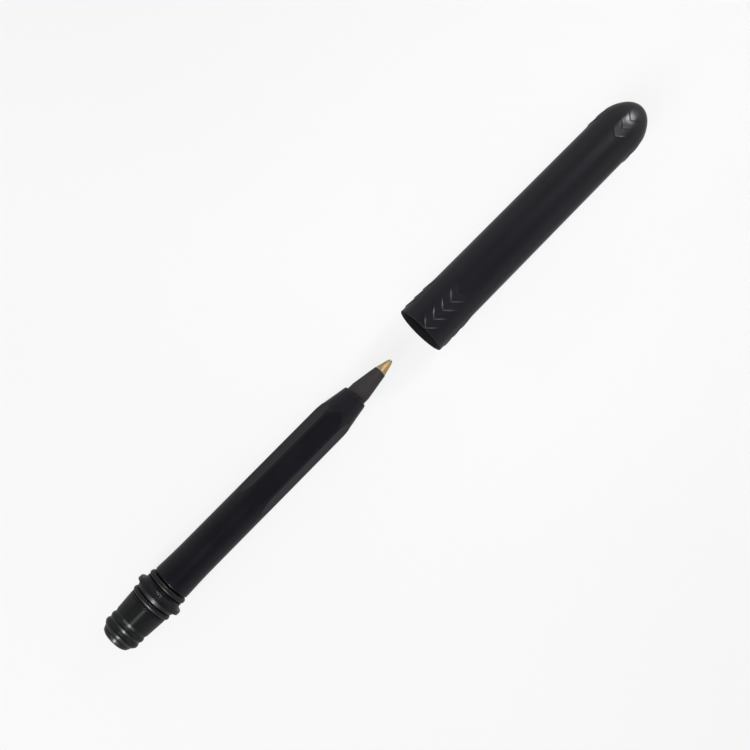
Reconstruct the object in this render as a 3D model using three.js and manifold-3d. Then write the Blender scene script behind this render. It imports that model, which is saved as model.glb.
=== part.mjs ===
// Pocket pen: a short ballpoint whose long domed cap nearly covers it, shown with the cap drawn off.
// Millimetres. Each piece is a revolve about the pen's axis, which runs along X, tip toward +X.
// Stations along the pen are counted from the front face of its flange, + toward the writing tip.
import * as THREE from 'three';
import { mergeVertices } from 'three/addons/utils/BufferGeometryUtils.js';
import Module from 'manifold-3d';

const wasm = await Module();
wasm.setup();

// Flange, the stop for the cap from either side
const flangeRadius = 5.79;
const flangeWidth = 1.3;
const flangeBevel = 0.25;
const flangeRearSlope = 0.5;
const shoulderRadius = 5.1;
const shoulderWidth = 0.8;

// Rubber rings, one on each side of the flange
const ringCord = 1.4;
const frontRingRadius = 4.92;
const rearRingRadius = 5.05;
const ringClearance = 0.04;
const ringSideClearance = 0.05;
const frontGrooveSpare = 0.25;
const frontGrooveBevel = 0.15;
const landRadius = 4.74;
const landWidth = 1.15;
const rearLipRadius = 4.72;
const rearLipWidth = 0.45;

// Barrel
const barrelLength = 59.75;
const barrelRadius = 4.33;
const barrelRearRadius = 4.56;
const flareLength = 8;
const barrelBore = 2.7;
const noseLength = 8.6;
const noseWall = 0.55;
const noseBlend = 2.4;
const noseBevel = 0.22;
const noseSocketDepth = 8.5;

// Six flats that let the barrel sit between the fingers
const flatCount = 6;
const flatDepth = 0.41;
const flatStart = 31.8;
const flatRunOutRadius = 31;

// Tail plug with two grip beads, the first one's crest beadFirst from the end
const plugLength = 9.95;
const plugFrontRadius = 4.74;
const plugRearRadius = 4.42;
const plugValleyRadius = 4.2;
const plugEndRadius = 3.72;
const plugEndFace = 2.8;
const plugEndLength = 1.26;
const beadCount = 2;
const beadRadius = 4.47;
const beadPitch = 1.67;
const beadFirst = 2.41;
const beadCrest = 0.45;
const beadSlope = 0.52;
const plugGroove = 0.12;
const plugSpigotLength = 6;
const plugClearance = 0.03;
const plugCoreDepth = 7.5;

// Refill
const tubeRadius = 1.55;
const tubeBore = 1.25;
const tubeTailGap = 0.5;
const tubeClearance = 0.05;
const inkClearance = 0.03;
const followerLength = 4;
const inkTailSpace = 8;

// Plastic cone that carries the brass tip
const holderRadius = 2.46;
const holderCollar = 1.6;
const holderFrontRadius = 1.47;
const holderReach = 7.85;
const holderClearance = 0.035;
const holderSpigotLength = 5;
const holderFeedBore = 0.7;

// Brass tip
const socketBaseRadius = 1.35;
const socketBaseLength = 0.35;
const socketConeLength = 2.77;
const socketNoseRadius = 0.56;
const socketShankRadius = 0.95;
const socketShankLength = 5.5;
const socketFeedBore = 0.3;
const socketClearance = 0.03;

// Ball
const ballRadius = 0.5;
const ballClearance = 0.03;
const ballShowing = 0.46;

// Cap
const capSealClearance = 0.055;
const capMouthWall = 1.195;
const capWaistWall = 0.99;
const capMouthLength = 11.7;
const capEndRadius = 5.785;
const capEndWall = 1.165;
const capDomeLength = 8.9;
const capMouthEdge = 0.3;
const capDomeWall = 1.1;
const capTipClearance = 1.8;
const capLeadIn = 0.33;
const capLeadInLength = 1.1;
const capSeatGap = 0.1;
const capOffTip = 9.4;

// Chevron relief on the cap, four columns at each end
const chevronColumns = 4;
const mouthPatchStart = 0.1;
const mouthPatchCount = 4;
const mouthPatchPitch = 2.75;
const mouthPatchStagger = 1.35;
const domePatchLead = 3.6;
const domePatchCount = 4;
const domePatchPitch = 2.9;
const domePatchFade = 0.22;
const chevronRelief = 0.19;
const chevronRise = 0.65;
const chevronHalfAngle = 23;
const chevronFadeAngle = 7;
const chevronRoot = 0.35;
const chevronSink = 0.04;

// Facets round the large and the small pieces
const facets = 48;
const smallFacets = 24;
const ringSides = 8;
const domeSteps = 10;
const innerDomeSteps = 4;

const deg = THREE.MathUtils.degToRad;

// Turns a geometry into a closed manifold, without degenerate triangles
function toManifold(geometry) {
  const bare = geometry.clone();
  bare.deleteAttribute('normal');
  bare.deleteAttribute('uv');
  const merged = mergeVertices(bare, 1e-5);
  const index = merged.index.array;
  const corners = [];
  for (let i = 0; i < index.length; i += 3) {
    const [a, b, c] = [index[i], index[i + 1], index[i + 2]];
    if (a !== b && b !== c && c !== a) corners.push(a, b, c);
  }
  return new wasm.Manifold(new wasm.Mesh({
    numProp: 3,
    vertProperties: new Float32Array(merged.attributes.position.array),
    triVerts: new Uint32Array(corners),
  }));
}

// Gives a manifold back as a geometry for a mesh
function toGeometry(solid) {
  const mesh = solid.getMesh();
  const geometry = new THREE.BufferGeometry();
  geometry.setAttribute('position', new THREE.BufferAttribute(new Float32Array(mesh.vertProperties), 3));
  geometry.setIndex(new THREE.BufferAttribute(new Uint32Array(mesh.triVerts), 1));
  geometry.computeVertexNormals();
  return geometry;
}

// Revolves [station, radius] points about the X axis, with a facet centred on top and underneath
function revolve(profile, segments = facets) {
  const points = profile.map(([station, radius]) => new THREE.Vector2(radius, station));
  const geometry = new THREE.LatheGeometry(points, segments, Math.PI / segments);
  geometry.rotateZ(-Math.PI / 2);
  return toManifold(geometry);
}

// Points of a circular arc in [station, radius], from one angle to another, in degrees
function arc(station, radius, size, from, to, steps) {
  const points = [];
  for (let i = 0; i <= steps; i++) {
    const angle = deg(from + (to - from) * i / steps);
    points.push([station + size * Math.cos(angle), radius + size * Math.sin(angle)]);
  }
  return points;
}

// Stations that follow from the sizes above
const rearGrooveWidth = ringCord + 2 * ringSideClearance;
const flangeRear = -flangeWidth;
const rearShoulder = flangeRear - shoulderWidth;
const rearGrooveRear = rearShoulder - rearGrooveWidth;
const barrelRear = rearGrooveRear - rearLipWidth;
const frontGrooveRear = landWidth;
const frontGrooveFront = frontGrooveRear + rearGrooveWidth + frontGrooveSpare;
const flareStart = frontGrooveFront + 2 * frontGrooveBevel;
const noseStart = barrelLength - noseLength;
const noseBore = holderRadius + holderClearance;
const noseEndRadius = noseBore + noseWall;
const flatApothem = barrelRadius - flatDepth;
const holderFront = barrelLength + holderReach;
const holderRear = barrelLength - noseSocketDepth;
const plugRear = barrelRear - plugLength;
const socketFront = holderFront + socketBaseLength + socketConeLength;
const ballCentre = socketFront + ballShowing - ballRadius;
const holderBore = socketShankRadius + socketClearance;
const penTip = socketFront + ballShowing;
const capLength = penTip + capTipClearance + capDomeWall - capSeatGap;
const capMouthBore = frontRingRadius + capSealClearance;
const capMouthRadius = capMouthBore + capMouthWall;
const capWaistRadius = capMouthBore + capWaistWall;
const capInnerEndRadius = capEndRadius - capEndWall;

// Barrel: flange, ring grooves, round barrel, tapered nose and a stepped bore, with six flats
function makeBarrel() {
  const taper = (noseEndRadius - barrelRadius) / (noseLength - noseBlend / 2);
  const profile = [
    [barrelRear, barrelBore],
    [barrelRear, rearLipRadius],
    [rearGrooveRear, rearLipRadius],
    [rearGrooveRear, rearRingRadius - ringCord - ringClearance],
    [rearShoulder, rearRingRadius - ringCord - ringClearance],
    [rearShoulder, landRadius],
    [flangeRear, shoulderRadius],
    [flangeRear + flangeRearSlope, flangeRadius],
    [-flangeBevel, flangeRadius],
    [0, flangeRadius - flangeBevel],
    [0, shoulderRadius],
    [landWidth / 2, landRadius],
    [frontGrooveRear, landRadius],
    [frontGrooveRear, frontRingRadius - ringCord - ringClearance],
    [frontGrooveFront, frontRingRadius - ringCord - ringClearance],
    [frontGrooveFront, barrelRearRadius - frontGrooveBevel],
    [flareStart, barrelRearRadius],
  ];
  for (let i = 1; i <= 3; i++) {
    const t = i / 3;
    const radius = barrelRadius + (barrelRearRadius - barrelRadius) * (1 - t) ** 2;
    profile.push([flareStart + flareLength * t, radius]);
  }
  for (let i = 0; i <= 3; i++) {
    const t = i / 3;
    profile.push([noseStart + noseBlend * t, barrelRadius + taper * noseBlend * t * t / 2]);
  }
  profile.push([barrelLength - noseBevel, noseEndRadius]);
  profile.push([barrelLength, noseEndRadius - noseBevel]);
  profile.push([barrelLength, noseBore]);
  profile.push([holderRear, noseBore]);
  profile.push([holderRear - (barrelBore - noseBore), barrelBore]);
  profile.push([barrelRear, barrelBore]);
  let barrel = revolve(profile);
  const flat = flatCutter();
  for (let i = 0; i < flatCount; i++) {
    barrel = barrel.subtract(flat.rotate([360 * i / flatCount, 0, 0]));
  }
  return toGeometry(barrel);
}

// Cutter for the top flat: level from flatStart on, and a long arc where the flat runs out
function flatCutter() {
  const reach = 2 * barrelRadius;
  const outline = new THREE.Shape();
  const runOut = Math.acos(1 - (reach - flatApothem) / flatRunOutRadius);
  outline.moveTo(flatStart, flatApothem);
  outline.lineTo(barrelLength + 1, flatApothem);
  outline.lineTo(barrelLength + 1, reach);
  outline.lineTo(flatStart - flatRunOutRadius * Math.sin(runOut), reach);
  outline.absarc(flatStart, flatApothem + flatRunOutRadius, flatRunOutRadius,
    -Math.PI / 2 - runOut, -Math.PI / 2, false);
  const geometry = new THREE.ExtrudeGeometry(outline, {
    depth: 2 * reach,
    bevelEnabled: false,
    curveSegments: 12,
  });
  geometry.translate(0, 0, -reach);
  geometry.rotateX(Math.PI / 2);
  return toManifold(geometry);
}

// Tail plug: a tapered grip with beads, a rounded end and a cored spigot inside the barrel
function makeTailPlug() {
  const spigotRadius = barrelBore - plugClearance;
  const core = tubeRadius + tubeClearance;
  const profile = [[plugRear, 0], [plugRear, plugEndFace]];
  for (let i = 1; i <= 3; i++) {
    const angle = deg(90 * i / 3);
    profile.push([
      plugRear + (plugEndRadius - plugEndFace) * (1 - Math.cos(angle)),
      plugEndFace + (plugEndRadius - plugEndFace) * Math.sin(angle),
    ]);
  }
  profile.push([plugRear + plugEndLength, plugEndRadius]);
  let crest = plugRear + beadFirst;
  for (let i = 0; i < beadCount; i++) {
    crest = plugRear + beadFirst + i * beadPitch;
    profile.push([crest - beadCrest / 2 - beadSlope, plugValleyRadius]);
    profile.push([crest - beadCrest / 2, beadRadius]);
    profile.push([crest + beadCrest / 2, beadRadius]);
    profile.push([crest + beadCrest / 2 + beadSlope, plugValleyRadius]);
  }
  profile.push([crest + beadPitch - beadCrest / 2, plugRearRadius]);
  profile.push([barrelRear - plugGroove, plugFrontRadius]);
  profile.push([barrelRear, plugFrontRadius - plugGroove]);
  profile.push([barrelRear, spigotRadius]);
  profile.push([barrelRear + plugSpigotLength, spigotRadius]);
  profile.push([barrelRear + plugSpigotLength, core]);
  profile.push([barrelRear - plugCoreDepth, core]);
  profile.push([barrelRear - plugCoreDepth, 0]);
  return toGeometry(revolve(profile));
}

// Rubber ring of round cord, at a station and outer radius
function makeRing(station, outerRadius) {
  const cord = ringCord / 2;
  const section = arc(station, outerRadius - cord, cord, -90, 270, ringSides);
  return toGeometry(revolve(section.reverse()));
}

// Plastic cone: collar in the nose, a spigot in the ink tube and a bore for the brass tip
function makeTipHolder() {
  const spigotRadius = tubeBore - tubeClearance;
  const profile = [
    [holderRear - holderSpigotLength, holderFeedBore],
    [holderRear - holderSpigotLength, spigotRadius],
    [holderRear, spigotRadius],
    [holderRear, holderRadius],
    [barrelLength + holderCollar, holderRadius],
    [holderFront, holderFrontRadius],
    [holderFront, holderBore],
    [holderFront - socketShankLength - socketClearance, holderBore],
    [holderFront - socketShankLength - socketClearance, holderFeedBore],
    [holderRear - holderSpigotLength, holderFeedBore],
  ];
  return toGeometry(revolve(profile, smallFacets));
}

// Brass tip: shank, base ring, cone, and a seat whose lip holds the ball
function makeTipSocket() {
  const seat = ballRadius + ballClearance;
  const lipStation = socketFront;
  const lipGap = lipStation - ballCentre;
  const lipRadius = Math.sqrt(ballRadius ** 2 - lipGap ** 2) + ballClearance;
  const coneStart = holderFront + socketBaseLength;
  const profile = [
    [holderFront - socketShankLength, socketFeedBore],
    [holderFront - socketShankLength, socketShankRadius],
    [holderFront, socketShankRadius],
    [holderFront, socketBaseRadius],
    [coneStart, socketBaseRadius],
    [coneStart, socketBaseRadius - socketClearance],
    [socketFront - ballClearance, socketNoseRadius + ballClearance],
    [lipStation, Math.max(socketNoseRadius, lipRadius + ballClearance)],
    [lipStation, lipRadius],
    [ballCentre, seat],
    [ballCentre - seat, seat],
    [ballCentre - seat - ballClearance, socketFeedBore],
    [holderFront - socketShankLength, socketFeedBore],
  ];
  return toGeometry(revolve(profile, smallFacets));
}

// Ball in the brass tip
function makeBall() {
  const geometry = new THREE.SphereGeometry(ballRadius, smallFacets, smallFacets / 2);
  geometry.rotateZ(-Math.PI / 2);
  geometry.translate(ballCentre, 0, 0);
  return toGeometry(toManifold(geometry));
}

// Ink tube, from just ahead of the plug's core to the holder's shoulder
const tubeRear = barrelRear - plugCoreDepth + tubeTailGap;
const tubeFront = holderRear - tubeClearance;
const inkFront = holderRear - holderSpigotLength - inkClearance;
const inkRear = tubeRear + inkTailSpace;

function makeInkTube() {
  return toGeometry(revolve([
    [tubeRear, tubeBore],
    [tubeRear, tubeRadius],
    [tubeFront, tubeRadius],
    [tubeFront, tubeBore],
    [tubeRear, tubeBore],
  ], smallFacets));
}

// Ink column: fills the tube and the feed bores as far as the ball
function makeInk() {
  const tubeFill = tubeBore - inkClearance;
  const holderFill = holderFeedBore - inkClearance;
  const socketFill = socketFeedBore - inkClearance;
  const shankRear = holderFront - socketShankLength - inkClearance;
  return toGeometry(revolve([
    [inkRear, 0],
    [inkRear, tubeFill],
    [inkFront, tubeFill],
    [inkFront, holderFill],
    [shankRear, holderFill],
    [shankRear, socketFill],
    [ballCentre - ballRadius - 2 * ballClearance, socketFill],
    [ballCentre - ballRadius - 2 * ballClearance, 0],
  ], smallFacets));
}

// Grease follower: keeps the ink from running back
function makeFollower() {
  const radius = tubeBore - inkClearance;
  return toGeometry(revolve([
    [inkRear - inkClearance - followerLength, 0],
    [inkRear - inkClearance - followerLength, radius],
    [inkRear - inkClearance, radius],
    [inkRear - inkClearance, 0],
  ], smallFacets));
}

// Cap's outer radius short of the dome, stations counted from the mouth: a flare, then a slow taper
const domeStart = capLength - capDomeLength;

function capRadius(station) {
  if (station <= capMouthLength) {
    return THREE.MathUtils.lerp(capMouthRadius, capWaistRadius, station / capMouthLength);
  }
  const t = (station - capMouthLength) / (domeStart - capMouthLength);
  return THREE.MathUtils.lerp(capWaistRadius, capEndRadius, t);
}

// Angle on the dome's ellipse at a distance along its surface from where it starts
function domeAngle(distance) {
  const steps = 40;
  let angle = 0;
  for (let i = 0; i < steps; i++) {
    angle += distance / steps / Math.hypot(capDomeLength * Math.cos(angle), capEndRadius * Math.sin(angle));
  }
  return angle;
}

// Point off the cap's surface by lift, at a distance along the surface from the mouth
function capPoint(distance, lift) {
  if (distance <= domeStart) return [distance, capRadius(distance) + lift];
  const angle = domeAngle(distance - domeStart);
  const across = capDomeLength * Math.cos(angle);
  const along = capEndRadius * Math.sin(angle);
  const length = Math.hypot(across, along);
  return [
    domeStart + capDomeLength * Math.sin(angle) + lift * along / length,
    capEndRadius * Math.cos(angle) + lift * across / length,
  ];
}

// Angles of a chevron's sections, in degrees: its middle, its ends and the cap's own facet edges
function chevronAngles() {
  const facet = 360 / facets;
  const half = [];
  for (let angle = facet / 2; angle < chevronHalfAngle - facet / 4; angle += facet) half.push(angle);
  half.push(chevronHalfAngle);
  return [...half.map((angle) => -angle).reverse(), 0, ...half];
}

// One chevron: a ridge that rises steeply from a V line and falls in a hollow curve to the next one
function makeChevron(apex, pitch, relief) {
  const angles = chevronAngles();
  const apexRadius = capPoint(apex, 0)[1];
  const falls = apex + pitch > domeStart ? 4 : 2;
  const positions = [];
  for (const angle of angles) {
    const arm = deg(Math.abs(angle)) * apexRadius;
    const fade = Math.min((chevronHalfAngle - Math.abs(angle)) / chevronFadeAngle, 1);
    const foot = apex + arm;
    const section = [capPoint(foot, -chevronRoot), capPoint(foot, -chevronSink)];
    for (let i = 0; i <= falls; i++) {
      const t = (i / falls) ** 1.5;
      const lift = THREE.MathUtils.lerp(relief * fade, -chevronSink, i / falls);
      section.push(capPoint(THREE.MathUtils.lerp(foot + chevronRise, foot + pitch, t), lift));
    }
    section.push(capPoint(foot + pitch, -chevronRoot));
    for (const [station, radius] of section) {
      positions.push(station, radius * Math.sin(deg(angle)), radius * Math.cos(deg(angle)));
    }
  }
  const size = falls + 4;
  const last = (angles.length - 1) * size;
  const index = [];
  for (let i = 0; i < angles.length - 1; i++) {
    for (let j = 0; j < size; j++) {
      const [a, b] = [i * size + j, i * size + (j + 1) % size];
      if (angles[i] < 0) index.push(a, b, b + size, a, b + size, a + size);
      else index.push(a, b, a + size, b, b + size, a + size);
    }
  }
  for (let j = 1; j < size - 1; j++) {
    index.push(0, j + 1, j);
    index.push(last, last + j, last + j + 1);
  }
  const geometry = new THREE.BufferGeometry();
  geometry.setAttribute('position', new THREE.Float32BufferAttribute(positions, 3));
  geometry.setIndex(index);
  return toManifold(geometry);
}

// Cap: a closed-end shell with a lead-in at the mouth and chevrons in four columns
function makeCap() {
  const profile = [[capLeadInLength, capMouthBore]];
  profile.push([0, capMouthBore + capLeadIn]);
  profile.push([0, capMouthRadius - capMouthEdge]);
  profile.push([capMouthEdge, capRadius(capMouthEdge)]);
  profile.push([capMouthLength, capWaistRadius]);
  for (let i = 0; i <= domeSteps; i++) {
    const angle = Math.PI / 2 * i / domeSteps;
    profile.push([domeStart + capDomeLength * Math.sin(angle), capEndRadius * Math.cos(angle)]);
  }
  const innerDome = capDomeLength - capDomeWall;
  for (let i = innerDomeSteps; i >= 0; i--) {
    const angle = Math.PI / 2 * i / innerDomeSteps;
    profile.push([domeStart + innerDome * Math.sin(angle), capInnerEndRadius * Math.cos(angle)]);
  }
  profile.push([capLeadInLength, capMouthBore]);
  let cap = revolve(profile);
  for (let column = 0; column < chevronColumns; column++) {
    const side = column % 2;
    const turn = [360 * column / chevronColumns, 0, 0];
    for (let i = 0; i < mouthPatchCount - side; i++) {
      const apex = mouthPatchStart + side * mouthPatchStagger + i * mouthPatchPitch;
      cap = cap.add(makeChevron(apex, mouthPatchPitch, chevronRelief).rotate(turn));
    }
    for (let i = 0; i < domePatchCount; i++) {
      const apex = domeStart - domePatchLead + i * domePatchPitch;
      const relief = chevronRelief * (1 - i * domePatchFade);
      cap = cap.add(makeChevron(apex, domePatchPitch, relief).rotate(turn));
    }
  }
  return toGeometry(cap);
}

// Materials, one for each piece
function finish(color, roughness, metalness = 0) {
  return new THREE.MeshStandardMaterial({ color, roughness, metalness });
}

const pen = new THREE.Group();
const body = new THREE.Group();
const cap = new THREE.Group();
pen.add(body, cap);

function addPiece(parent, name, geometry, material) {
  const mesh = new THREE.Mesh(geometry, material);
  mesh.name = name;
  parent.add(mesh);
}

addPiece(body, 'barrel', makeBarrel(), finish(0x1c1b20, 0.38));
addPiece(body, 'tail_plug', makeTailPlug(), finish(0x1c2021, 0.3));
addPiece(body, 'rear_o_ring', makeRing((rearGrooveRear + rearShoulder) / 2, rearRingRadius),
  finish(0x161618, 0.6));
addPiece(body, 'front_o_ring', makeRing(frontGrooveRear + rearGrooveWidth / 2, frontRingRadius),
  finish(0x161618, 0.6));
addPiece(body, 'ink_tube', makeInkTube(), finish(0xe6e4dc, 0.4));
addPiece(body, 'ink', makeInk(), finish(0x101018, 0.3));
addPiece(body, 'grease_follower', makeFollower(), finish(0xd8c98c, 0.3));
addPiece(body, 'tip_holder', makeTipHolder(), finish(0x2c2626, 0.5));
addPiece(body, 'tip_socket', makeTipSocket(), finish(0xc9a25a, 0.28, 1));
addPiece(body, 'writing_ball', makeBall(), finish(0xb9b9bd, 0.15, 1));
addPiece(cap, 'cap_shell', makeCap(), finish(0x212026, 0.4));

// The cap lies capOffTip past the tip; closed, its mouth would stop capSeatGap from the flange
cap.position.x = penTip + capOffTip;

// The origin is under the middle of the whole, where the lowest point touches the table
const extent = new THREE.Box3().setFromObject(pen, true);
pen.position.set(-(extent.min.x + extent.max.x) / 2, 0, -extent.min.z);

export default pen;
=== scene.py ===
import math

import bpy
import numpy as np
from mathutils import Matrix, Vector


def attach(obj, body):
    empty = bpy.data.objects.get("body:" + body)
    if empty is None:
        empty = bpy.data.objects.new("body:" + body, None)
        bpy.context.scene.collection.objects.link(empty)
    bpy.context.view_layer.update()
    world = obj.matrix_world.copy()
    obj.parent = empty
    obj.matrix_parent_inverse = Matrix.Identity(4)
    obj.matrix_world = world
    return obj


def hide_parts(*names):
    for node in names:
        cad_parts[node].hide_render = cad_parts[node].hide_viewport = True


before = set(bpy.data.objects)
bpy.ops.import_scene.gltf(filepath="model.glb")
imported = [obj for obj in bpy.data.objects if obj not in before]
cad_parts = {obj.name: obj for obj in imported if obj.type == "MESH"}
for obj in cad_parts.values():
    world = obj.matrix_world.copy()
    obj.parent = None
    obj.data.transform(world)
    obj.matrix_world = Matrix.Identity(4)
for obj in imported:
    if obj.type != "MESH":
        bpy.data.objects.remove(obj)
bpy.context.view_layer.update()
bpy.ops.object.select_all(action="DESELECT")


# ---------------------------------------------------------------------------------------------
# Camera. A short telephoto over the pen, leaning a little toward the tail.
# The pen runs from lower left to upper right.
# ---------------------------------------------------------------------------------------------
PEN_AXIS = 0.006347
CAMERA_DISTANCE = 0.230
IMAGE_SIDE = 750
camera_data = bpy.data.cameras.new("camera")
camera_data.lens = 49.5
camera_data.sensor_width = 36.0
camera_data.clip_start = 0.01
camera_data.clip_end = 20.0
camera = bpy.data.objects.new("camera", camera_data)
bpy.context.scene.collection.objects.link(camera)
lean = math.radians(6.6)
sideways = math.radians(3.0)
toward_camera = Vector((-math.sin(lean), math.sin(sideways), math.cos(lean))).normalized()
along = Vector((1, 0, 0))
along = (along - along.dot(toward_camera) * toward_camera).normalized()
across = along.cross(toward_camera)
slant = math.radians(45.3)
right = math.cos(slant) * along + math.sin(slant) * across
up = toward_camera.cross(right)
aim = Vector((-0.00437, 0.0, PEN_AXIS))
turn = Matrix((right, up, toward_camera)).transposed().to_4x4()
camera.matrix_world = Matrix.Translation(aim + CAMERA_DISTANCE * toward_camera) @ turn
camera_data.shift_x = 0.15 / IMAGE_SIDE
camera_data.shift_y = 1.85 / IMAGE_SIDE
bpy.context.scene.camera = camera


# ---------------------------------------------------------------------------------------------
# Barrel. Injection-moulded in black ABS: flange, two ring grooves, a round waist, six flats for
# the fingers and a tapered nose. The bore is stepped to hold the refill.
# ---------------------------------------------------------------------------------------------
FLANGE_FACE = -0.07028
BARREL_RADIUS = 4.33
FLARE_LENGTH = 8
FLARE = 0.23
NOSE_START = 51.15
NOSE_LENGTH = 8.6
NOSE_BLEND = 2.4
NOSE_END = 59.53
NOSE_END_RADIUS = 3.045
FLAT_APOTHEM = 3.92
FLAT_DEPTH = 0.41
FLAT_START = 31.8
RUN_OUT_RADIUS = 31
HALF_FLAT = 30


def softened(corners):
    """Points of a profile in millimetres; a corner with a third number is rounded by that radius.
    A point just outside each rounding keeps the face beside it flat in the shading.
    """
    points = []
    for i, corner in enumerate(corners):
        if len(corner) < 3:
            points.append((corner[0], corner[1]))
            continue
        here = np.array(corner[:2])
        before = np.array(corners[i - 1][:2]) - here
        after = np.array(corners[(i + 1) % len(corners)][:2]) - here
        before_length, after_length = np.linalg.norm(before), np.linalg.norm(after)
        before, after = before / before_length, after / after_length
        half = math.acos(max(-1.0, min(1.0, float(before @ after)))) / 2
        reach = min(corner[2] / math.tan(half), before_length * 0.45, after_length * 0.45)
        hold = min(0.02, before_length * 0.03, after_length * 0.03)
        a = here + before * reach
        b = here + after * reach
        points.append(tuple(a + before * hold))
        for t in (0.0, 0.25, 0.5, 0.75, 1.0):
            points.append(tuple((1 - t) ** 2 * a + 2 * t * (1 - t) * here + t * t * b))
        points.append(tuple(b + after * hold))
    return points


def turned(name, profile, steps, start=FLANGE_FACE, closed=True):
    """A round piece: a profile drawn out from one point and spun about the pen's axis."""
    points = [(start + s / 1000, PEN_AXIS + r / 1000) for s, r in profile]
    bpy.ops.object.select_all(action="DESELECT")
    bpy.ops.mesh.primitive_plane_add(size=0.001, location=(points[0][0], 0, points[0][1]))
    piece = bpy.context.object
    piece.name = name
    piece.data.name = name
    bpy.ops.object.transform_apply(location=True, rotation=True, scale=True)
    bpy.ops.object.mode_set(mode="EDIT")
    bpy.ops.mesh.merge(type="CENTER")
    for (x0, z0), (x1, z1) in zip(points, points[1:]):
        bpy.ops.mesh.extrude_vertices_move(TRANSFORM_OT_translate={"value": (x1 - x0, 0, z1 - z0)})
    if closed:
        (x0, z0), (x1, z1) = points[-1], points[0]
        bpy.ops.mesh.extrude_vertices_move(TRANSFORM_OT_translate={"value": (x1 - x0, 0, z1 - z0)})
    bpy.ops.mesh.select_all(action="SELECT")
    bpy.ops.mesh.spin(steps=steps, angle=2 * math.pi, center=(0, 0, PEN_AXIS), axis=(1, 0, 0))
    bpy.ops.mesh.select_all(action="SELECT")
    bpy.ops.mesh.remove_doubles(threshold=2e-6)
    bpy.ops.mesh.normals_make_consistent(inside=False)
    bpy.ops.object.mode_set(mode="OBJECT")
    bpy.ops.object.shade_smooth_by_angle(angle=math.radians(35))
    return piece


def pen_places(piece):
    """Station in metres, distance from the axis and angle from the top, for every vertex."""
    xyz = np.empty(len(piece.data.vertices) * 3)
    piece.data.vertices.foreach_get("co", xyz)
    x, y, z = xyz.reshape(-1, 3).T
    return x, np.hypot(y, z - PEN_AXIS), np.arctan2(y, z - PEN_AXIS)


def put_back(piece, x, radius, angle):
    """Writes places of that kind back to the vertices."""
    xyz = np.stack([x, radius * np.sin(angle), PEN_AXIS + radius * np.cos(angle)], axis=1)
    piece.data.vertices.foreach_set("co", xyz.ravel())
    piece.data.update()


def spread(start, end, count):
    """Evenly spaced stations after start, up to and with end."""
    return [start + (end - start) * i / count for i in range(1, count + 1)]


taper = (NOSE_END_RADIUS - BARREL_RADIUS) / (NOSE_LENGTH - NOSE_BLEND / 2)
outline = [
    (-4.05, 2.7, 0.1),
    (-4.05, 4.72, 0.07),
    (-3.6, 4.72, 0.07),
    (-3.6, 3.61),
    (-2.1, 3.61),
    (-2.1, 4.74, 0.08),
    (-1.3, 5.1, 0.12),
    (-1.02, 5.79, 0.035),
    (-0.2, 5.79, 0.1),
    (0.0, 5.59, 0.08),
    (0.0, 5.1, 0.1),
    (0.575, 4.74, 0.2),
    (1.15, 4.74, 0.08),
    (1.15, 3.48),
    (2.9, 3.48),
    (2.9, 4.41, 0.05),
    (3.2, 4.56, 0.2),
]
outline = softened(outline)
outline += [(3.2 + FLARE_LENGTH * t, BARREL_RADIUS + FLARE * (1 - t) ** 2) for t in spread(0, 1, 10)]
outline += [(s, BARREL_RADIUS) for s in
            spread(11.2, 25.2, 5) + spread(25.2, 32.1, 46) + spread(32.1, NOSE_START, 8)]
outline += [(NOSE_START + NOSE_BLEND * t, BARREL_RADIUS + taper * NOSE_BLEND * t * t / 2)
            for t in spread(0, 1, 12)]
outline += [(s, NOSE_END_RADIUS + taper * (s - NOSE_END)) for s in
            spread(53.55, 56.0, 16) + spread(56.0, 59.43, 8)]
outline += softened([(59.43, 3.0624), (NOSE_END, NOSE_END_RADIUS, 0.06), (59.75, 2.825, 0.06),
                     (59.75, 2.495, 0.06), (59.4, 2.495)])[1:]
outline += [(51.25, 2.495), (51.045, 2.7)]
barrel = turned("barrel_moulding", outline, 240)

# The six flats: pressed in from the round, level over the grip and running out in a long arc.
# Lines of points are drawn to both sides of each flat's edge, so that the edge stays crisp.
x, radius, angle = pen_places(barrel)
station = (x - FLANGE_FACE) * 1000
radius = radius * 1000
grip = (station > 24.5) & (station < 59.0) & (radius > 2.9)
run_in = np.clip(FLAT_START - station, 0, 20)
height = FLAT_APOTHEM + RUN_OUT_RADIUS - np.sqrt(RUN_OUT_RADIUS ** 2 - run_in ** 2)
edge = np.degrees(np.arccos(np.clip(height / np.maximum(radius, 1e-3), -1, 1)))
flat_begins = FLAT_START - math.sqrt(RUN_OUT_RADIUS ** 2 - (RUN_OUT_RADIUS - FLAT_DEPTH) ** 2)
flat_ends = NOSE_END + (FLAT_APOTHEM - NOSE_END_RADIUS) / taper
relax = np.maximum(np.clip((flat_begins - station) / 1.6, 0, 1), np.clip((station - flat_ends) / 2.4, 0, 1))
edge = np.maximum(edge, 2.6 + 12.4 * relax)
centre = np.round(np.degrees(angle) / (2 * HALF_FLAT)) * (2 * HALF_FLAT)
local = np.degrees(angle) - centre
share = np.abs(local) / HALF_FLAT
edge_band = 0.75
inner = edge - edge_band
outer = edge + edge_band
moved = np.where(share <= 0.45, share / 0.45 * inner,
                 np.where(share < 0.55, inner + (share - 0.45) / 0.1 * 2 * edge_band,
                          outer + (share - 0.55) / 0.45 * (HALF_FLAT - outer)))
moved = np.where(grip, moved, np.abs(local))
pressed = height / np.cos(np.radians(moved))
blend = 0.028
dip = np.minimum(radius, pressed) - np.maximum(blend - np.abs(radius - pressed), 0) ** 2 / (4 * blend)
radius = np.where(grip, dip, radius)
angle = np.radians(centre + np.sign(local) * moved)
put_back(barrel, x, radius / 1000, angle)


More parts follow.
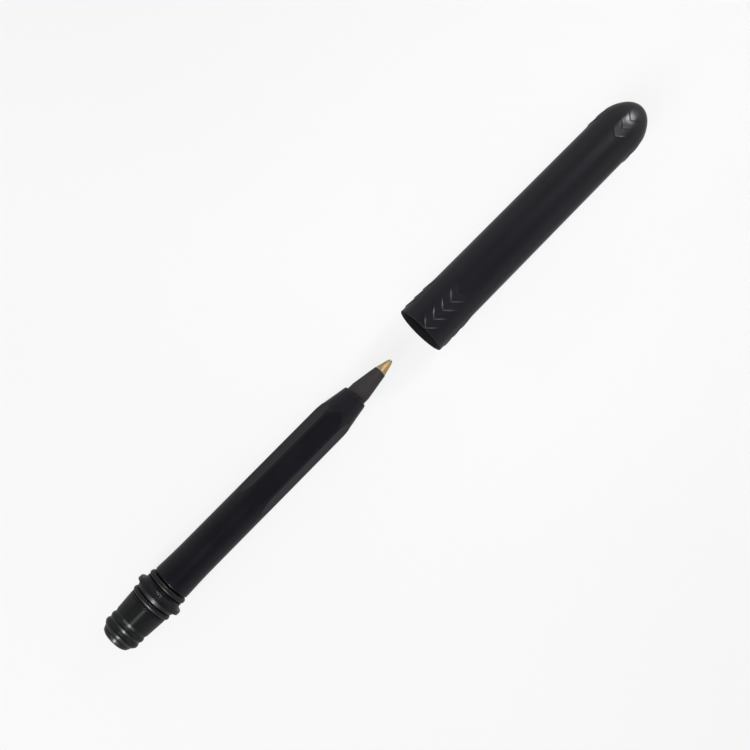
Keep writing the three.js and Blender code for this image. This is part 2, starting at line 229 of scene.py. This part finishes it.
# Node groups for moulded plastic, used by every plastic piece of the pen.
def new_group(name, inputs, outputs):
    """An empty shader node group with float inputs and float outputs."""
    group = bpy.data.node_groups.new(name, "ShaderNodeTree")
    for label, value in inputs:
        socket = group.interface.new_socket(label, in_out="INPUT", socket_type="NodeSocketFloat")
        socket.default_value = value
    for label in outputs:
        group.interface.new_socket(label, in_out="OUTPUT", socket_type="NodeSocketFloat")
    nodes = group.nodes
    return group, nodes.new("NodeGroupInput"), nodes.new("NodeGroupOutput")


def math_node(tree, operation, a, b=None, clamp=False):
    """A Math node; a and b are sockets or numbers."""
    node = tree.nodes.new("ShaderNodeMath")
    node.operation = operation
    node.use_clamp = clamp
    for socket, value in zip(node.inputs, (a, b)):
        if value is None:
            continue
        if isinstance(value, bpy.types.NodeSocket):
            tree.links.new(value, socket)
        else:
            socket.default_value = value
    return node.outputs[0]


def noise_node(tree, place, scale, detail=2.0, rough=0.5):
    """A Noise Texture on those coordinates; scale is a socket or a number."""
    node = tree.nodes.new("ShaderNodeTexNoise")
    node.inputs["Detail"].default_value = detail
    node.inputs["Roughness"].default_value = rough
    if isinstance(scale, bpy.types.NodeSocket):
        tree.links.new(scale, node.inputs["Scale"])
    else:
        node.inputs["Scale"].default_value = scale
    tree.links.new(place, node.inputs["Vector"])
    return node.outputs["Fac"]


# Mould skin: the fine spark-eroded texture of the mould, with faint flow marks along the pen.
mould_skin, group_in, group_out = new_group(
    "mould_skin", [("Grain Scale", 5200.0), ("Flow", 0.5)], ["Height", "Tone"])
place = mould_skin.nodes.new("ShaderNodeTexCoord").outputs["Object"]
grain = noise_node(mould_skin, place, group_in.outputs["Grain Scale"], 3.0, 0.55)
stretch = mould_skin.nodes.new("ShaderNodeMapping")
stretch.inputs["Scale"].default_value = (0.12, 1.0, 1.0)
mould_skin.links.new(place, stretch.inputs["Vector"])
flow = noise_node(mould_skin, stretch.outputs["Vector"], 900.0, 3.0, 0.6)
cloud = noise_node(mould_skin, place, 180.0, 2.0, 0.5)
flow_part = math_node(mould_skin, "MULTIPLY", math_node(mould_skin, "SUBTRACT", flow, 0.5),
                      group_in.outputs["Flow"])
tone = math_node(mould_skin, "ADD", flow_part, cloud)
tone = math_node(mould_skin, "ADD", tone, math_node(mould_skin, "MULTIPLY",
                 math_node(mould_skin, "SUBTRACT", grain, 0.5), 0.12), clamp=True)
mould_skin.links.new(grain, group_out.inputs["Height"])
mould_skin.links.new(tone, group_out.inputs["Tone"])

# Dust: a few lint specks, one cell in a dozen, each smaller than a quarter of a millimetre.
dust_specks, group_in, group_out = new_group(
    "dust_specks", [("Cells", 420.0), ("Share", 0.08), ("Size", 0.05)], ["Mask"])
place = dust_specks.nodes.new("ShaderNodeTexCoord").outputs["Object"]
cells = dust_specks.nodes.new("ShaderNodeTexVoronoi")
dust_specks.links.new(place, cells.inputs["Vector"])
dust_specks.links.new(group_in.outputs["Cells"], cells.inputs["Scale"])
chance = dust_specks.nodes.new("ShaderNodeSeparateColor")
dust_specks.links.new(cells.outputs["Color"], chance.inputs["Color"])
chosen = math_node(dust_specks, "LESS_THAN", chance.outputs["Red"], group_in.outputs["Share"])
width = math_node(dust_specks, "MULTIPLY", group_in.outputs["Size"],
                  math_node(dust_specks, "ADD", chance.outputs["Green"], 0.35))
near = math_node(dust_specks, "SUBTRACT", width, cells.outputs["Distance"])
speck = math_node(dust_specks, "MULTIPLY", near, 60.0, clamp=True)
dust_specks.links.new(math_node(dust_specks, "MULTIPLY", speck, chosen), group_out.inputs["Mask"])


def group_node(tree, group, **values):
    """Places a node group in a material with its own values."""
    node = tree.nodes.new("ShaderNodeGroup")
    node.node_tree = group
    for label, value in values.items():
        node.inputs[label.replace("_", " ")].default_value = value
    return node


def mixed_colour(tree, share, low, high):
    """A colour between two, by a share that changes over the surface; either may be a socket."""
    node = tree.nodes.new("ShaderNodeMix")
    node.data_type = "RGBA"
    tree.links.new(share, node.inputs["Factor"])
    for socket, value in ((node.inputs[6], low), (node.inputs[7], high)):
        if isinstance(value, bpy.types.NodeSocket):
            tree.links.new(value, socket)
        else:
            socket.default_value = (*value, 1)
    return node.outputs[2]


def ranged(tree, value, low, high, to_low, to_high):
    """Maps a value from one range to another, clamped."""
    node = tree.nodes.new("ShaderNodeMapRange")
    tree.links.new(value, node.inputs["Value"])
    for label, number in (("From Min", low), ("From Max", high), ("To Min", to_low), ("To Max", to_high)):
        node.inputs[label].default_value = number
    return node.outputs["Result"]


def bumped(tree, height, distance, strength, under=None):
    """A Bump node; distance in metres."""
    node = tree.nodes.new("ShaderNodeBump")
    node.inputs["Strength"].default_value = strength
    node.inputs["Distance"].default_value = distance
    tree.links.new(height, node.inputs["Height"])
    if under is not None:
        tree.links.new(under, node.inputs["Normal"])
    return node.outputs["Normal"]


def new_finish(name):
    """A material with a Principled shader; gives the material, its node tree and the shader."""
    material = bpy.data.materials.new(name)
    material.use_nodes = True
    tree = material.node_tree
    return material, tree, tree.nodes["Principled BSDF"]


def moulded_plastic(name, dark, light, rough, grain=5200.0, depth=0.000006, dust=0.06):
    """Moulded plastic: mottled colour, roughness that varies with it, mould skin and a little dust."""
    material, tree, shader = new_finish(name)
    skin = group_node(tree, mould_skin, Grain_Scale=grain)
    dusty = group_node(tree, dust_specks, Share=dust)
    tone = ranged(tree, skin.outputs["Tone"], 0.15, 0.85, 0.0, 1.0)
    plain = mixed_colour(tree, tone, dark, light)
    tree.links.new(mixed_colour(tree, dusty.outputs["Mask"], plain, (0.10, 0.098, 0.095)),
                   shader.inputs["Base Color"])
    gloss = ranged(tree, skin.outputs["Tone"], 0.15, 0.85, rough[0], rough[1])
    tree.links.new(math_node(tree, "ADD", gloss,
                             math_node(tree, "MULTIPLY", dusty.outputs["Mask"], 0.3)),
                   shader.inputs["Roughness"])
    tree.links.new(bumped(tree, skin.outputs["Height"], depth, 0.6), shader.inputs["Normal"])
    shader.inputs["IOR"].default_value = 1.46
    return material


barrel.data.materials.append(moulded_plastic(
    "barrel_black_abs", (0.0056, 0.0050, 0.0090), (0.0072, 0.0066, 0.0114), (0.26, 0.34)))
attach(barrel, "barrel")
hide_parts("barrel")


# ---------------------------------------------------------------------------------------------
# Rubber rings. Two nitrile O-rings stretched into the grooves on each side of the flange. Each is
# moulded in two halves, so a hair-thin flash line runs round its outer edge.
# ---------------------------------------------------------------------------------------------
RING_CORD = 1.4
FLASH = 0.006


def rubber_ring(name, station, outer_radius, cord=RING_CORD, sides=40):
    """Round cord with a flash line at its outer edge, as a profile that is spun about the pen."""
    section = []
    for i in range(sides):
        turned_by = 2 * math.pi * i / sides
        from_line = abs(math.remainder(turned_by - math.pi / 2, 2 * math.pi))
        size = cord / 2 - FLASH * min(1.0, from_line / 0.2) * max(0.0, 1 - from_line / 0.9)
        section.append((station + size * math.cos(turned_by),
                        outer_radius - cord / 2 + size * math.sin(turned_by)))
    return turned(name, section, 144)


rear_ring = rubber_ring("rear_ring_rubber", -2.85, 5.05)
front_ring = rubber_ring("front_ring_rubber", 1.9, 4.92)


def nitrile_rubber(name):
    """Dull black rubber with a bloom, fine pits and a little lint."""
    material, tree, shader = new_finish(name)
    place = tree.nodes.new("ShaderNodeTexCoord").outputs["Object"]
    bloom = ranged(tree, noise_node(tree, place, 650.0, 4.0, 0.6), 0.35, 0.7, 0.0, 1.0)
    lint = group_node(tree, dust_specks, Cells=900.0, Share=0.1, Size=0.08)
    rubber = mixed_colour(tree, bloom, (0.0060, 0.0060, 0.0075), (0.0090, 0.0090, 0.0105))
    tree.links.new(mixed_colour(tree, lint.outputs["Mask"], rubber, (0.09, 0.088, 0.085)),
                   shader.inputs["Base Color"])
    tree.links.new(ranged(tree, bloom, 0.0, 1.0, 0.32, 0.42), shader.inputs["Roughness"])
    pits = noise_node(tree, place, 7000.0, 2.0, 0.5)
    tree.links.new(bumped(tree, pits, 0.000008, 0.7), shader.inputs["Normal"])
    return material


for ring, node in ((rear_ring, "rear_o_ring"), (front_ring, "front_o_ring")):
    ring.data.materials.append(nitrile_rubber(node + "_nitrile"))
    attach(ring, "barrel")
    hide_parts(node)


# ---------------------------------------------------------------------------------------------
# Tail plug. A glossier moulding with two grip beads and a flat end, pushed into the barrel's back
# by its cored spigot.
# ---------------------------------------------------------------------------------------------
BEAD_CRESTS = (-11.59, -9.92)
BEAD_RADIUS = 4.47
VALLEY_RADIUS = 4.2
END_RADIUS = 3.72
outline = [(-14.0, 0.0), (-14.0, 1.0), (-14.0, 2.0)]
outline += softened([(-14.0, 2.1), (-14.0, 2.75, 0.6), (-13.62, 3.36, 0.4), (-12.92, 3.71, 0.6),
                     (-12.6, END_RADIUS)])[1:-1]
for crest in BEAD_CRESTS:
    first = crest == BEAD_CRESTS[0]
    bead = softened([
        (crest - 1.1, END_RADIUS if first else VALLEY_RADIUS),
        (crest - 0.745, 4.12 if first else VALLEY_RADIUS, 0.12),
        (crest - 0.225, BEAD_RADIUS, 0.16), (crest + 0.225, BEAD_RADIUS, 0.16),
        (crest + 0.745, VALLEY_RADIUS, 0.16), (crest + 1.0, 4.22)])
    outline += bead[0 if first else 1:-1]
outline += softened([(-9.0, 4.22), (-8.475, 4.42, 0.35), (-4.17, 4.74, 0.05), (-4.05, 4.62, 0.03),
                     (-4.05, 2.67)])[1:]
outline += [(1.95, 2.67), (1.95, 1.6), (-11.55, 1.6), (-11.55, 0.0)]
plug = turned("tail_plug_moulding", outline, 192, closed=False)
plug.data.materials.append(moulded_plastic(
    "tail_plug_black_gloss", (0.0062, 0.0074, 0.0078), (0.0088, 0.0102, 0.0108), (0.20, 0.28),
    grain=6500.0, depth=0.000004))
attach(plug, "barrel")
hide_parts("tail_plug")


# ---------------------------------------------------------------------------------------------
# Refill. An extruded polypropylene tube filled with ink paste, with a plug of clear grease behind
# the ink that follows it down. All three are inside the barrel.
# ---------------------------------------------------------------------------------------------
def refill_finish(name, low, high, rough, scale, metres):
    """Smooth finish with soft streaks for the pieces inside the barrel."""
    material, tree, shader = new_finish(name)
    place = tree.nodes.new("ShaderNodeTexCoord").outputs["Object"]
    streak = tree.nodes.new("ShaderNodeMapping")
    streak.inputs["Scale"].default_value = (0.08, 1.0, 1.0)
    tree.links.new(place, streak.inputs["Vector"])
    tone = ranged(tree, noise_node(tree, streak.outputs["Vector"], scale, 3.0, 0.5), 0.35, 0.65, 0.0, 1.0)
    tree.links.new(mixed_colour(tree, tone, low, high), shader.inputs["Base Color"])
    tree.links.new(ranged(tree, tone, 0.0, 1.0, rough - 0.05, rough + 0.08), shader.inputs["Roughness"])
    tree.links.new(bumped(tree, tone, metres, 0.4), shader.inputs["Normal"])
    return material


for node, material in (
        ("ink_tube", refill_finish("refill_tube_polypropylene", (0.70, 0.69, 0.63), (0.80, 0.79, 0.74),
                                   0.35, 900.0, 0.00001)),
        ("ink", refill_finish("ink_paste", (0.004, 0.004, 0.009), (0.007, 0.007, 0.014), 0.2, 1500.0,
                              0.000005)),
        ("grease_follower", refill_finish("grease_amber", (0.55, 0.44, 0.18), (0.66, 0.56, 0.27),
                                          0.2, 700.0, 0.00001))):
    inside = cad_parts[node]
    inside.data.materials.clear()
    inside.data.materials.append(material)


# ---------------------------------------------------------------------------------------------
# Tip holder. A duller, brownish black cone, pressed into the nose; its spigot carries the ink
# tube and its bore takes the brass tip.
# ---------------------------------------------------------------------------------------------
COLLAR_RADIUS = 2.46
outline = [(46.25, 0.7), (46.25, 1.2), (51.25, 1.2), (51.25, COLLAR_RADIUS), (59.7, COLLAR_RADIUS),
           (60.4, COLLAR_RADIUS)]
outline += softened([(61.2, COLLAR_RADIUS), (61.35, COLLAR_RADIUS, 0.12), (67.6, 1.47, 0.08),
                     (67.6, 0.98, 0.04), (67.3, 0.98)])
outline += [(62.07, 0.98), (62.07, 0.7)]
holder = turned("tip_holder_moulding", outline, 160)
holder.data.materials.append(moulded_plastic(
    "tip_holder_brown_black", (0.033, 0.0265, 0.0288), (0.042, 0.0340, 0.0370), (0.52, 0.64),
    grain=4200.0, depth=0.00001, dust=0.03))
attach(holder, "barrel")
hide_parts("tip_holder")


# ---------------------------------------------------------------------------------------------
# Brass tip. Turned from bar on a lathe: a shank pressed into the holder, a small base ring, a long
# cone and a lip that is rolled over the ball.
# ---------------------------------------------------------------------------------------------
CONE_START = 67.95
outline = [
    (62.1, 0.3), (62.1, 0.95), (67.6, 0.95), (67.6, 1.35, 0.05), (CONE_START, 1.35, 0.06),
    (CONE_START, 1.32, 0.02)]
outline += [(CONE_START + 2.74 * t, 1.32 + (0.59 - 1.32) * t) for t in spread(0, 1, 12)]
outline += [(70.72, 0.56, 0.012), (70.72, 0.528), (70.68, 0.53), (70.15, 0.53), (70.12, 0.3)]
socket_piece = turned("brass_tip_turning", softened(outline), 128)
material, tree, shader = new_finish("brass_turned")
place = tree.nodes.new("ShaderNodeTexCoord").outputs["Object"]
lathe = tree.nodes.new("ShaderNodeMapping")
lathe.inputs["Scale"].default_value = (1.0, 0.02, 0.02)
tree.links.new(place, lathe.inputs["Vector"])
lines = noise_node(tree, lathe.outputs["Vector"], 16000.0, 2.0, 0.6)
patina = ranged(tree, noise_node(tree, place, 1500.0, 3.0, 0.6), 0.35, 0.7, 0.0, 1.0)
split = tree.nodes.new("ShaderNodeSeparateXYZ")
tree.links.new(place, split.inputs[0])
base_ring = ranged(tree, split.outputs["X"], FLANGE_FACE + 0.06797, FLANGE_FACE + 0.06800, 1.0, 0.0)
cone = mixed_colour(tree, patina, (0.74, 0.53, 0.26), (0.60, 0.41, 0.18))
tree.links.new(mixed_colour(tree, base_ring, cone, (0.80, 0.62, 0.45)), shader.inputs["Base Color"])
tree.links.new(ranged(tree, lines, 0.3, 0.7, 0.34, 0.50), shader.inputs["Roughness"])
tree.links.new(bumped(tree, lines, 0.000004, 0.5), shader.inputs["Normal"])
shader.inputs["Metallic"].default_value = 1.0
socket_piece.data.materials.append(material)
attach(socket_piece, "barrel")
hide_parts("tip_socket")


# ---------------------------------------------------------------------------------------------
# Ball. Ground tungsten carbide, a millimetre across, with a smear of ink from writing.
# ---------------------------------------------------------------------------------------------
BALL_STATION = 70.68
BALL_RADIUS = 0.5
half_circle = [(BALL_STATION - BALL_RADIUS * math.cos(t), BALL_RADIUS * math.sin(t))
               for t in [0.0] + spread(0, math.pi, 32)]
half_circle[0] = (70.18, 0.0)
half_circle[-1] = (71.18, 0.0)
ball = turned("carbide_ball", half_circle, 64, closed=False)
material, tree, shader = new_finish("tungsten_carbide")
place = tree.nodes.new("ShaderNodeTexCoord").outputs["Object"]
smear = ranged(tree, noise_node(tree, place, 2600.0, 3.0, 0.6), 0.45, 0.62, 0.0, 1.0)
tree.links.new(mixed_colour(tree, smear, (0.52, 0.50, 0.47), (0.16, 0.15, 0.16)),
               shader.inputs["Base Color"])
tree.links.new(ranged(tree, smear, 0.0, 1.0, 0.14, 0.32), shader.inputs["Roughness"])
shader.inputs["Metallic"].default_value = 1.0
ball.data.materials.append(material)
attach(ball, "writing_ball")
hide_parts("writing_ball")


# ---------------------------------------------------------------------------------------------
# Cap. A long thin shell of the same black ABS with a flared mouth and a domed end. Four columns of
# raised chevrons at each end give the fingers something to pull on.
# ---------------------------------------------------------------------------------------------
CAP_MOUTH = 0.0103
CAP_LENGTH = 73.98
DOME_LENGTH = 8.9
DOME_START = CAP_LENGTH - DOME_LENGTH
DOME_RADIUS = 5.785
MOUTH_RADIUS = 6.17
WAIST_RADIUS = 5.965
WAIST = 11.7
BORE_RADIUS = 4.975
BORE_END_RADIUS = 4.62
LEAD_IN = 1.1
DOME_WALL = 1.1
RIM_RADIUS = 0.1
RELIEF = 0.18
RISE = 0.42
PITCH = 2.75
STEP_SHARE = 0.2
STEP_LENGTH = 0.12
MOUTH_CREST = 0.26
DOME_CREST = DOME_START - 3.15
HALF_ANGLE = math.radians(23)
FADE_ANGLE = math.radians(7)
STAGGER = 1.35

# The dome's ellipse, with the distance along its surface from where it starts.
dome_angles = np.linspace(0, math.pi / 2, 2001)
dome_steps = np.hypot(DOME_LENGTH * np.cos(dome_angles), DOME_RADIUS * np.sin(dome_angles))
dome_distances = np.concatenate(
    [[0], np.cumsum((dome_steps[1:] + dome_steps[:-1]) / 2 * np.diff(dome_angles))])
FULL_DISTANCE = DOME_START + dome_distances[-1]


def cap_surface(distance, lift=0.0):
    """Station from the mouth and radius of the cap, at a distance along its surface."""
    distance = np.asarray(distance, dtype=float)
    side = np.interp(distance, [0, WAIST, DOME_START], [MOUTH_RADIUS, WAIST_RADIUS, DOME_RADIUS])
    along_dome = np.interp(distance - DOME_START, dome_distances, dome_angles)
    normal_x = DOME_RADIUS * np.sin(along_dome)
    normal_r = DOME_LENGTH * np.cos(along_dome)
    length = np.hypot(normal_x, normal_r)
    on_dome = distance > DOME_START
    station = np.where(on_dome, DOME_START + DOME_LENGTH * np.sin(along_dome), distance)
    radius = np.where(on_dome, DOME_RADIUS * np.cos(along_dome), side)
    station = station + np.where(on_dome, lift * normal_x / length, 0.0)
    radius = radius + np.where(on_dome, lift * normal_r / length, lift)
    return station, radius


# Rows of points stand close at each chevron's crest and foot, and far apart between the patches.
past_crest = (0.0, 0.03, 0.1, 0.25, 0.45, 0.7, 0.95, 1.2, 1.45, 1.7, 1.9, 2.1, 2.25, 2.31, 2.33, 2.37, 2.46,
              2.56, 2.66, 2.72)
distances = spread(0.15, MOUTH_CREST - 0.01, 10)
for k in range(4):
    distances += [MOUTH_CREST + PITCH * k + d for d in past_crest]
distances += spread(11.4, 50.0, 16) + spread(50.0, 61.2, 14) + [61.45, 61.51, 61.58, 61.7, 61.88]
for k in range(4):
    distances += [DOME_CREST + PITCH * k + d for d in past_crest]
distances += spread(73.08, FULL_DISTANCE, 12)
row_stations, row_radii = cap_surface(distances)
row_radii[-1] = 0.0
inner = [(DOME_START + (DOME_LENGTH - DOME_WALL) * math.sin(t), BORE_END_RADIUS * math.cos(t))
         for t in [math.pi / 2 * i / 16 for i in range(17)]]
inner[-1] = (inner[-1][0], 0.0)
outline = inner[::-1] + [
    (s, BORE_RADIUS + (BORE_END_RADIUS - BORE_RADIUS) * (s - LEAD_IN) / (DOME_START - LEAD_IN))
    for s in (50.0, 35.0, 20.0, 8.0)]
outline += softened([(3.0, 4.966), (LEAD_IN, BORE_RADIUS, 0.4), (0.0, 5.305, 0.12), (0.0, 6.07)])[1:]
outline += [(RIM_RADIUS * (1 - math.cos(t)), 6.07 + RIM_RADIUS * math.sin(t)) for t in
            [math.radians(a) for a in (18, 36, 54, 72, 90)]]
outline += list(zip(row_stations, row_radii))
cap = turned("cap_moulding", outline, 240, start=CAP_MOUTH, closed=False)

# Rows of the shell are led along the chevrons' zigzag, then the chevrons are raised.
x, radius, angle = pen_places(cap)
station = (x - CAP_MOUTH) * 1000
radius = radius * 1000
quarter = np.round(angle / (math.pi / 2))
side_column = (np.abs(quarter) == 1).astype(float)
swing = np.abs(angle - quarter * math.pi / 2)
skin = ((radius > 5.75) & (station > 0.155)) | (station > DOME_START)
hollow = (radius / 4.64) ** 2 + (np.maximum(station - DOME_START, 0) / (DOME_LENGTH - 1.08)) ** 2 <= 1
skin &= ~hollow
distance = np.interp(station, row_stations, distances)
lead = np.interp(distance, [0.15, MOUTH_CREST, 11.5, 26.0, 50.0, 61.2, 73.5, FULL_DISTANCE],
                 [0.0, 1.0, 1.0, 0.0, 0.0, 1.0, 1.0, 0.0])
row_radius = cap_surface(distance)[1]
toward_side = np.clip((math.pi / 4 - swing) / math.radians(20), 0, 1)
toward_side = toward_side * toward_side * (3 - 2 * toward_side)
phase = np.where(distance < 40, STAGGER * (0.5 + (side_column - 0.5) * toward_side), 0.0)
zigzag = np.minimum(swing, math.radians(25)) * row_radius + phase
distance = np.where(skin, distance + lead * zigzag, station)


def chevrons(first, count, fades=0.0):
    """Lift of one patch: a steep rise to each crest, a thin step, then a rounded fall to the next foot."""
    lift = np.zeros_like(distance)
    for k in range(count):
        crest = first + k * PITCH
        past = distance - crest - swing * cap_surface(crest)[1]
        share = np.clip(past / (PITCH - RISE), 0, 1)
        step = STEP_SHARE * np.clip(past / STEP_LENGTH, 0, 1)
        fall = 1 - step - (1 - STEP_SHARE) * share ** 1.5
        lift = np.maximum(lift, RELIEF * (1 - k * fades) * np.where(past < 0, 1 + past / RISE, fall))
    return lift * np.clip((HALF_ANGLE - swing) / FADE_ANGLE, 0, 1)


near_mouth = distance < 40
lift = np.where((side_column == 0) & near_mouth, chevrons(MOUTH_CREST, 4), 0)
lift += np.where((side_column == 1) & near_mouth, chevrons(MOUTH_CREST + STAGGER, 3), 0)
lift += np.where(distance > 40, chevrons(DOME_CREST, 3, 0.2), 0)
lifted = cap_surface(distance, lift)
on_rim = (station <= 0.155) & (radius > 6.06)
x = np.where(skin, CAP_MOUTH + lifted[0] / 1000, x)
rim_lift = lift * np.clip(station / RIM_RADIUS, 0, 1)
radius = np.where(skin, lifted[1], np.where(on_rim, radius + rim_lift, radius))
put_back(cap, x, radius / 1000, angle)
finish = moulded_plastic("cap_black_abs", (0.0060, 0.0054, 0.0092), (0.0084, 0.0076, 0.0124), (0.27, 0.35))

# The inside of the mouth and its front face carry painted shade: a darker colour and a weaker reflection;
# they are also made rougher.
tree = finish.node_tree
shader = tree.nodes["Principled BSDF"]
split = tree.nodes.new("ShaderNodeSeparateXYZ")
tree.links.new(tree.nodes.new("ShaderNodeTexCoord").outputs["Object"], split.inputs[0])
height = math_node(tree, "SUBTRACT", split.outputs["Z"], PEN_AXIS)
reach = math_node(tree, "SQRT", math_node(tree, "ADD", math_node(tree, "MULTIPLY", height, height),
                  math_node(tree, "MULTIPLY", split.outputs["Y"], split.outputs["Y"])))
# Painted shade inside the mouth: the bore gets a darker colour and a weaker reflection.
hollow = math_node(tree, "MULTIPLY", math_node(tree, "LESS_THAN", reach, 0.0055),
                   math_node(tree, "LESS_THAN", split.outputs["X"], CAP_MOUTH + 0.05))
# Painted shade on the front face of the mouth, which gets the same darker colour and weaker reflection.
shaded_front_face = math_node(tree, "LESS_THAN", split.outputs["X"], CAP_MOUTH + 0.00004)
inside = math_node(tree, "MAXIMUM", hollow, shaded_front_face)
colour, gloss = shader.inputs["Base Color"], shader.inputs["Roughness"]
tree.links.new(mixed_colour(tree, inside, colour.links[0].from_socket, (0.0065, 0.0062, 0.0075)), colour)
dulled = math_node(tree, "MULTIPLY", inside, 0.85)
tree.links.new(math_node(tree, "MAXIMUM", gloss.links[0].from_socket, dulled), gloss)
# Painted shade: half the specular reflection inside the mouth and on its front face.
tree.links.new(ranged(tree, inside, 0.0, 1.0, 0.5, 0.25), shader.inputs["Specular IOR Level"])
cap.data.materials.append(finish)
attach(cap, "cap")
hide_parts("cap_shell")


# ---------------------------------------------------------------------------------------------
# Table and light. A pale matt table in a white room, with a soft box low at the tail's end. Small
# lamps beside it, above the pen and past the dome pick out the turned edges and the chevrons.
# ---------------------------------------------------------------------------------------------
bpy.ops.object.select_all(action="DESELECT")
bpy.ops.mesh.primitive_plane_add(size=6.0, location=(0, 0, 0))
table = bpy.context.object
table.name = "table"
material, tree, shader = new_finish("table_pale")
place = tree.nodes.new("ShaderNodeTexCoord").outputs["Object"]
tone = noise_node(tree, place, 40.0, 3.0, 0.5)
tree.links.new(mixed_colour(tree, tone, (0.80, 0.80, 0.80), (0.82, 0.82, 0.82)),
               shader.inputs["Base Color"])
shader.inputs["Roughness"].default_value = 0.9
output = tree.nodes["Material Output"]
glow = tree.nodes.new("ShaderNodeEmission")
rays = tree.nodes.new("ShaderNodeLightPath")
mix = tree.nodes.new("ShaderNodeMixShader")
tree.links.new(ranged(tree, rays.outputs["Is Glossy Ray"], 0.0, 1.0, 1.0, 0.3), glow.inputs["Strength"])
seen = math_node(tree, "ADD", rays.outputs["Is Camera Ray"], rays.outputs["Is Glossy Ray"])
seen = math_node(tree, "ADD", seen, rays.outputs["Is Transmission Ray"], clamp=True)
tree.links.new(math_node(tree, "MULTIPLY", seen, 0.82), mix.inputs["Fac"])
tree.links.new(shader.outputs[0], mix.inputs[1])
tree.links.new(glow.outputs[0], mix.inputs[2])
tree.links.new(mix.outputs[0], output.inputs["Surface"])
table.data.materials.append(material)

world = bpy.data.worlds.new("white_room")
bpy.context.scene.world = world
world.use_nodes = True
tree = world.node_tree
backdrop = tree.nodes["Background"]
backdrop.inputs["Color"].default_value = (1, 1, 1, 1)
direction = tree.nodes.new("ShaderNodeSeparateXYZ")
tree.links.new(tree.nodes.new("ShaderNodeTexCoord").outputs["Generated"], direction.inputs[0])
room = ranged(tree, direction.outputs["Z"], 0.25, 0.85, 0.34, 0.07)
seen = tree.nodes.new("ShaderNodeLightPath").outputs["Is Camera Ray"]
far_side = ranged(tree, direction.outputs["X"], 0.08, 0.45, 0.0, 0.22)
lit = math_node(tree, "ADD", room, far_side)
tree.links.new(math_node(tree, "MAXIMUM", seen, lit), backdrop.inputs["Strength"])


def soft_box(name, place, target, width, height, brightness, spread_angle=180):
    """A rectangular lamp that faces a point. Its face is as bright as a white card times brightness;
    a spread under 180 degrees keeps its light off the rest of the pen.
    """
    data = bpy.data.lights.new(name, "AREA")
    data.shape = "RECTANGLE"
    data.size = width
    data.size_y = height
    data.energy = brightness * math.pi * width * height
    if spread_angle < 180:
        data.spread = math.radians(spread_angle)
        data.energy *= math.radians(spread_angle / 2) ** 2 / 3
    lamp = bpy.data.objects.new(name, data)
    bpy.context.scene.collection.objects.link(lamp)
    lamp.location = place
    lamp.rotation_euler = (Vector(target) - Vector(place)).to_track_quat("-Z", "Y").to_euler()
    return lamp


soft_box("key_box", (-0.64, 0.05, 0.46), (0, 0, 0), 1.0, 0.50, 1.4)
soft_box("left_wing", (-0.164, 0.33, 0.135), (0.015, 0, 0.006), 0.05, 0.11, 54.0, 12)
soft_box("right_wing", (-0.164, -0.33, 0.135), (0.015, 0, 0.006), 0.05, 0.11, 27.0, 12)
soft_box("tail_strip", (-0.66, -0.02, 0.36), (-0.05, 0, 0.006), 0.12, 0.60, 15.0)
soft_box("strip_top", (-0.32, -0.015, 0.60), (-0.05, 0, 0.006), 0.11, 0.12, 3.2)
soft_box("far_panel", (0.50, 0.02, 0.60), (0.03, 0, 0.006), 0.40, 0.16, 1.0)
soft_box("dome_lamp", (0.70, 0.045, 0.456), (0.095, 0, 0.006), 0.12, 0.12, 165.0, 13)

bpy.context.scene.view_settings.view_transform = "Standard"
